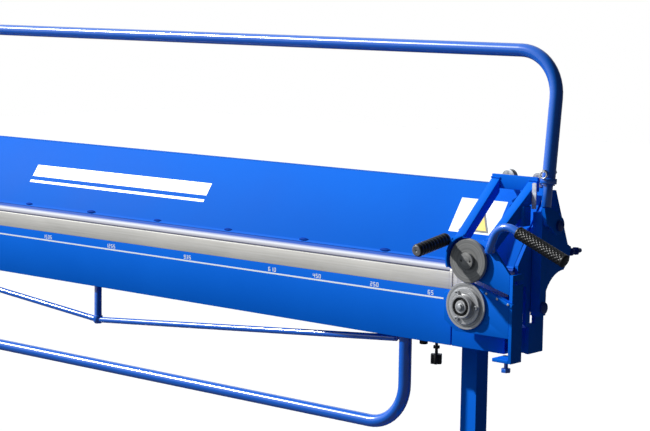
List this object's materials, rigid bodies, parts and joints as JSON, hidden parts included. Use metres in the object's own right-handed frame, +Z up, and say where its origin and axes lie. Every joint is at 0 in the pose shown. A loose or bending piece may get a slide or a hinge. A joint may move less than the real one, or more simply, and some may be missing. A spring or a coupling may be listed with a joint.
{
  "type": "sheet metal folder",
  "caption": "Long manual sheet-metal folding machine on a stand: swinging apron, clamp bail, rising bed, and a roller-cutter trolley that runs along the beam.",
  "frame": {"origin": "on the floor, at the centre of the four anchor holes, straight under the front face of the apron", "axes": "+X along the machine towards the parked trolley, +Y from the front to the rear, +Z up"},
  "size_m": [3.3077, 0.78, 1.4864],
  "materials": {
    "blue_paint": "gloss",
    "bar_steel": "brushed",
    "turned_steel": "turned",
    "zinc": "zinc plated",
    "black_rubber": "ribbed",
    "black_plastic": "satin",
    "label_white": "printed"
  },
  "bodies": {
    "frame": {"legs": "blue_paint", "feet": "blue_paint", "stretcher": "blue_paint", "braces": "blue_paint", "base_beam": "blue_paint", "cheeks": "blue_paint", "upper_panel": "blue_paint", "clamp_nose": "bar_steel", "park_plates": "blue_paint", "park_bars": "bar_steel", "hinge_brackets": "turned_steel", "bail_pivot_pins": "zinc", "tie_bolts": "zinc", "label_plate": "label_white"},
    "bed": {"bed_beam": "blue_paint", "bed_blade": "bar_steel", "lift_links": "blue_paint", "link_pins": "zinc"},
    "apron": {"apron_plate": "blue_paint", "bending_bar": "bar_steel", "apron_lugs": "turned_steel", "hinge_pins": "zinc", "lower_bail": "blue_paint", "bail_sockets": "blue_paint", "truss_strut": "blue_paint", "truss_rods": "blue_paint", "scale_strip": "label_white", "rubber_buffers": "black_rubber"},
    "clamp_bail": {"clamp_bail_tube": "blue_paint", "bail_spigots": "zinc", "bail_collars": "blue_paint", "lock_pins": "zinc", "crank_levers": "blue_paint", "crank_pins": "zinc"},
    "trolley": {"upper_plate": "blue_paint", "lower_plate": "blue_paint", "side_plate": "blue_paint", "foot_guide": "blue_paint", "foot_bolt": "zinc", "guide_strip": "blue_paint", "strip_screws": "zinc", "disc_guard": "blue_paint", "upper_axle": "zinc", "lower_axle": "zinc", "carriage_arms": "blue_paint", "cross_plate": "blue_paint", "roller_axles": "zinc", "side_grip": "black_rubber", "side_grip_bar": "zinc", "handle_tube": "blue_paint", "knurled_grip": "black_rubber"},
    "upper_cutter": {"upper_blade": "turned_steel", "upper_hub": "turned_steel"},
    "lower_cutter": {"lower_blade": "bar_steel", "lower_flange": "bar_steel", "flange_screws": "turned_steel"},
    "inner_roller": {"roller_inner": "turned_steel"},
    "outer_roller": {"roller_outer": "turned_steel"},
    "left_stop_screw": {"stop_screw_left": "black_plastic"},
    "right_stop_screw": {"stop_screw_right": "black_plastic"}
  },
  "joints": [
    {"name": "clamp_bail_swing", "type": "hinge", "parent": "frame", "child": "clamp_bail", "pos_m": [0, 0.142, 1.035], "axis": [1, 0, 0], "range_deg": [0, 40]},
    {"name": "bed_lift", "type": "slide", "parent": "frame", "child": "bed", "axis": [0, 0, 1], "range_m": [-0.031, 0]},
    {"name": "apron_swing", "type": "hinge", "parent": "frame", "child": "apron", "pos_m": [0, 0.01, 0.9085], "axis": [-1, 0, 0], "range_deg": [0, 115]},
    {"name": "trolley_travel", "type": "slide", "parent": "frame", "child": "trolley", "axis": [1, 0, 0], "range_m": [-2.914, 0]},
    {"name": "upper_blade_spin", "type": "hinge", "parent": "trolley", "child": "upper_cutter", "pos_m": [1.431, -0.05, 0.952], "axis": [0, 1, 0], "continuous": true},
    {"name": "lower_blade_spin", "type": "hinge", "parent": "trolley", "child": "lower_cutter", "pos_m": [1.423, -0.05, 0.8375], "axis": [0, 1, 0], "continuous": true},
    {"name": "inner_roller_spin", "type": "hinge", "parent": "trolley", "child": "inner_roller", "pos_m": [1.393, 0.17, 1.1433], "axis": [0, 1, 0], "continuous": true},
    {"name": "outer_roller_spin", "type": "hinge", "parent": "trolley", "child": "outer_roller", "pos_m": [1.487, 0.17, 1.1433], "axis": [0, 1, 0], "continuous": true},
    {"name": "left_stop_turn", "type": "hinge", "parent": "apron", "child": "left_stop_screw", "pos_m": [-1.27, 0.038, 0.69], "axis": [0, 0, 1], "continuous": true},
    {"name": "right_stop_turn", "type": "hinge", "parent": "apron", "child": "right_stop_screw", "pos_m": [1.27, 0.038, 0.69], "axis": [0, 0, 1], "continuous": true}
  ],
  "couplings": [
    {"joint": "bed_lift", "follows": "clamp_bail_swing", "m_per_rad": -0.04409}
  ]
}
